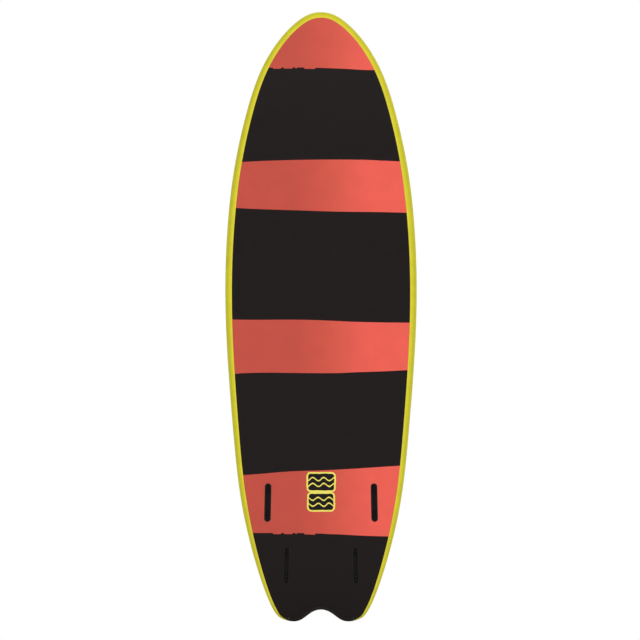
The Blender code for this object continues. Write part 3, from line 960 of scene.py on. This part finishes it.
def make_fin_cup(name, place, post_top, node, material):
    """A cup with a bored floor. A collar and a post line each bore, which is a little wider."""
    outer, inner = CUP_WIDTH / 2, CUP_WIDTH / 2 - CUP_WALL
    reach = (CUP_LENGTH - CUP_WIDTH) / 2
    shell = [
        (inner - 0.0006, SLOT_DEPTH),
        (inner - 0.0002, SLOT_DEPTH - 0.0002),
        (inner - 0.0001, SLOT_DEPTH - 0.0008),
        (inner, 0.0004),
        (inner + 0.0002, 0.0001),
        (inner + 0.0005, 0.0),
        (outer - 0.0005, 0.0),
        (outer - 0.0001, 0.0001),
        (outer, 0.0005),
        (outer, CUP_DEPTH - 0.0008),
        (outer - 0.0008, CUP_DEPTH),
    ]
    piece = loft(name, place, (shell, {"reach": reach}))
    linings = []
    for along in (-BOLT_SPACING / 2, BOLT_SPACING / 2):
        middle = place @ Matrix.Translation((0, along, 0))
        bore = BOLT_HOLE_RADIUS + BORE_RELIEF
        modifier = piece.modifiers.new("Cut", "BOOLEAN")
        modifier.object = cutter(f"{name}_bore", middle, bore, SLOT_DEPTH / 2, 2 * CUP_DEPTH)
        collar = [
            (COLLAR_RADIUS, SLOT_DEPTH + COLLAR_ROOT),
            (COLLAR_RADIUS, SLOT_DEPTH - 0.0004),
            (COLLAR_RADIUS - 0.0003, SLOT_DEPTH - COLLAR_HEIGHT),
            (BOLT_HOLE_RADIUS, SLOT_DEPTH - COLLAR_HEIGHT),
            (BOLT_HOLE_RADIUS, SLOT_DEPTH + COLLAR_ROOT),
        ]
        post = [
            (BOLT_HOLE_RADIUS, CUP_DEPTH),
            (POST_RADIUS, CUP_DEPTH),
            (POST_RADIUS, post_top - 0.0005),
            (POST_RADIUS - 0.0005, post_top),
            (BOLT_HOLE_RADIUS, post_top),
        ]
        linings += [(rings, {"closed": True, "along": along}) for rings in (collar, post)]
    apply_modifiers(piece)
    lining = loft(name + "_lining", place, *linings)
    join(piece, lining)
    place_piece(piece, node, "board", material)


def make_bush(name, seat, node, material):
    """A flanged sleeve with a groove round its top. Its top is at Z 0."""
    flange, bore = BUSH_FLANGE_RADIUS, BOLT_HOLE_RADIUS
    rings = [
        (bore, -BUSH_LENGTH),
        (bore, -BUSH_HEAD_SEAT),
        (BUSH_SEAT_RADIUS, -BUSH_HEAD_SEAT),
        (BUSH_SEAT_RADIUS, -0.0005),
        (BUSH_SEAT_RADIUS + 0.0004, 0.0),
        (flange - 0.0029, 0.0),
        (flange - 0.0027, -0.0003),
        (flange - 0.0021, -0.0003),
        (flange - 0.0019, 0.0),
        (flange - 0.0006, 0.0),
        (flange - 0.0002, -0.0002),
        (flange, -0.0007),
        (flange, -BUSH_FLANGE_THICKNESS),
        (POST_RADIUS, -BUSH_FLANGE_THICKNESS),
        (POST_RADIUS, -BUSH_LENGTH),
    ]
    piece = loft(name, seat, (rings[::-1], {"closed": True}))
    place_piece(piece, node, "board", material)


def make_bolt(name, seat, length, node, body, material):
    """A bolt with rounded head, hex socket and thread."""
    rings = [(BOLT_RADIUS - BOLT_CHAMFER, -length), (BOLT_RADIUS, BOLT_CHAMFER - length)]
    for turn in range(int(length * THREAD_SHARE / THREAD_PITCH)):
        start = BOLT_CHAMFER - length + turn * THREAD_PITCH
        rings.append((BOLT_RADIUS - THREAD_DEPTH, start + THREAD_PITCH / 2))
        rings.append((BOLT_RADIUS, start + THREAD_PITCH))
    top, head = BOLT_HEAD_HEIGHT, BOLT_HEAD_RADIUS
    rings += [(BOLT_RADIUS, 0.0), (head - 0.0003, 0.0), (head, 0.0003), (head, top - 0.0008)]
    rings += [(head - 0.0003, top - 0.0002), (head - 0.0008, top)]
    socket = HEX_RADIUS
    rings += [(socket + 0.0004, top), (socket, top - 0.0003, 6), (socket, top - HEX_DEPTH, 6)]
    place = seat @ Matrix.Translation((0, 0, BOLT_HEAD_GAP - BUSH_HEAD_SEAT))
    piece = loft(name, place, (rings, {}))
    place_piece(piece, node, body, material)


def make_leash_fitting(leash, plastic, steel):
    """The cup in the deck and the pin across it."""
    well, rim, cup = LEASH_WELL_RADIUS, LEASH_FLANGE_RADIUS, LEASH_CUP_RADIUS
    rings = [
        (cup - 0.0008, -LEASH_CUP_DEPTH),
        (cup, 0.0008 - LEASH_CUP_DEPTH),
        (cup, -LEASH_FLANGE_THICKNESS),
        (rim, -LEASH_FLANGE_THICKNESS),
        (rim, -0.0008),
        (rim - 0.0003, -0.0002),
        (rim - 0.0009, 0.0),
        (rim - 0.0034, 0.0),
        (rim - 0.0036, -0.0003),
        (rim - 0.0041, -0.0003),
        (rim - 0.0043, 0.0),
        (well + 0.0007, 0.0),
        (well + 0.0002, -0.0002),
        (well, -0.0007),
        (well - 0.0002, 0.0012 - LEASH_WELL_DEPTH),
        (well - 0.0012, -LEASH_WELL_DEPTH),
    ]
    piece = loft("moulded_leash_cup", leash, (rings, {}))
    place_piece(piece, "leash_cup", "board", plastic)
    across = leash @ Matrix.Translation((0, 0, -LEASH_PIN_DEPTH)) @ Matrix.Rotation(math.pi / 2, 4, "Y")
    half, radius = LEASH_PIN_LENGTH / 2, LEASH_PIN_RADIUS
    pin = [
        (radius - 0.0005, -half),
        (radius, 0.0005 - half),
        (radius, half - 0.0005),
        (radius - 0.0005, half),
    ]
    piece = loft("steel_leash_pin", across, (pin, {}))
    place_piece(piece, "leash_pin", "board", steel)


def dress_inner_nodes():
    """Materials for the solids inside, which keep their own shape."""
    foam, wood = bead_material(), plywood_material()
    liner = foam_material("liner_foam", linear((205, 204, 200)), 0.0012, 0.0001)
    finishes = {
        "core_left": foam,
        "core_centre": foam,
        "core_right": foam,
        "stringer_left": wood,
        "stringer_right": wood,
        "bottom_liner": liner,
    }
    for name, material in finishes.items():
        node = frame["nodes"][name]
        node.data.materials.clear()
        node.data.materials.append(material)


# Studio


def make_floor():
    """A wide pale floor that the tail tips stand on."""
    bpy.ops.mesh.primitive_plane_add(size=FLOOR_SIZE, location=(0, 0, 0))
    floor = bpy.context.object
    floor.name = "floor"
    graph = Graph("pale_floor", 0.9, specular=0.1)
    floor.data.materials.append(graph.finish(graph.shade(linear((244, 244, 243)), 0.99, 1.01, 0.4)))


def make_sun(name, azimuth, elevation, strength, softness):
    """A soft light from a direction. Azimuth 0 is in front of the printed bottom, and 90 is at +X."""
    light = bpy.data.lights.new(name, "SUN")
    light.energy = strength
    light.angle = math.radians(softness)
    sun = bpy.data.objects.new(name, light)
    bpy.context.scene.collection.objects.link(sun)
    turn, lift = math.radians(azimuth), math.radians(elevation)
    towards = Vector((math.sin(turn) * math.cos(lift), -math.cos(turn) * math.cos(lift), math.sin(lift)))
    sun.rotation_euler = towards.to_track_quat("Z", "Y").to_euler()


def make_world():
    """White behind the board, and a dimmer, even light on it."""
    world = bpy.data.worlds.new("studio")
    world.use_nodes = True
    bpy.context.scene.world = world
    tree = world.node_tree
    shown = tree.nodes.new("ShaderNodeBackground")
    shown.inputs["Strength"].default_value = 1.0
    shown.inputs["Color"].default_value = (1, 1, 1, 1)
    lit = tree.nodes["Background"]
    lit.inputs["Color"].default_value = (1, 1, 1, 1)
    lit.inputs["Strength"].default_value = WORLD_LIGHT
    path = tree.nodes.new("ShaderNodeLightPath")
    mix = tree.nodes.new("ShaderNodeMixShader")
    tree.links.new(path.outputs["Is Camera Ray"], mix.inputs[0])
    tree.links.new(lit.outputs[0], mix.inputs[1])
    tree.links.new(shown.outputs[0], mix.inputs[2])
    tree.links.new(mix.outputs[0], tree.nodes["World Output"].inputs[0])


def make_camera():
    camera = bpy.data.cameras.new("camera")
    camera.type = "ORTHO"
    camera.ortho_scale = VIEW_HEIGHT
    camera.clip_end = 100.0
    viewer = bpy.data.objects.new("camera", camera)
    bpy.context.scene.collection.objects.link(viewer)
    viewer.location = (VIEW_CENTRE[0], -VIEW_DISTANCE, VIEW_CENTRE[1])
    viewer.rotation_euler = (math.pi / 2, 0, 0)
    bpy.context.scene.camera = viewer


looks = collection("looks")
cutters = []
rest = next(mount for mount in frame["record"]["mounts"] if mount["name"] == "rack_rest")
board_y = rest["pos_m"][1] - deck_height(0, THICKEST_AT)
board_z = rest["pos_m"][2] - THICKEST_AT

bpy.context.scene.view_settings.view_transform = "Standard"
make_camera()
make_world()
make_floor()
for sun in SUNS:
    make_sun(*sun)

fins = fin_places()
leash = facing_frame(0, LEASH_CUP_Z, deck_height, 0)
make_skins(fins, leash)
cup_plastic = plastic_material("cup_plastic", (22, 18, 18), 0.5)
bolt_plastic = plastic_material("bolt_plastic", (26, 23, 23), 0.45)
for pair, side, place, post_top, bolt_length, bushes in fins:
    tag = f"{pair}_{side}"
    make_fin_cup("moulded_cup_" + tag, place, post_top, "fin_cup_" + tag, cup_plastic)
    for end, seat in bushes:
        tag = f"{pair}_{side}_{end}"
        make_bush("moulded_bush_" + tag, seat, "deck_bush_" + tag, cup_plastic)
        make_bolt("threaded_bolt_" + tag, seat, bolt_length, "fin_bolt_" + tag, "bolt_" + tag, bolt_plastic)
make_leash_fitting(leash, cup_plastic, steel_material())
dress_inner_nodes()
for item in cutters:
    bpy.data.objects.remove(item)
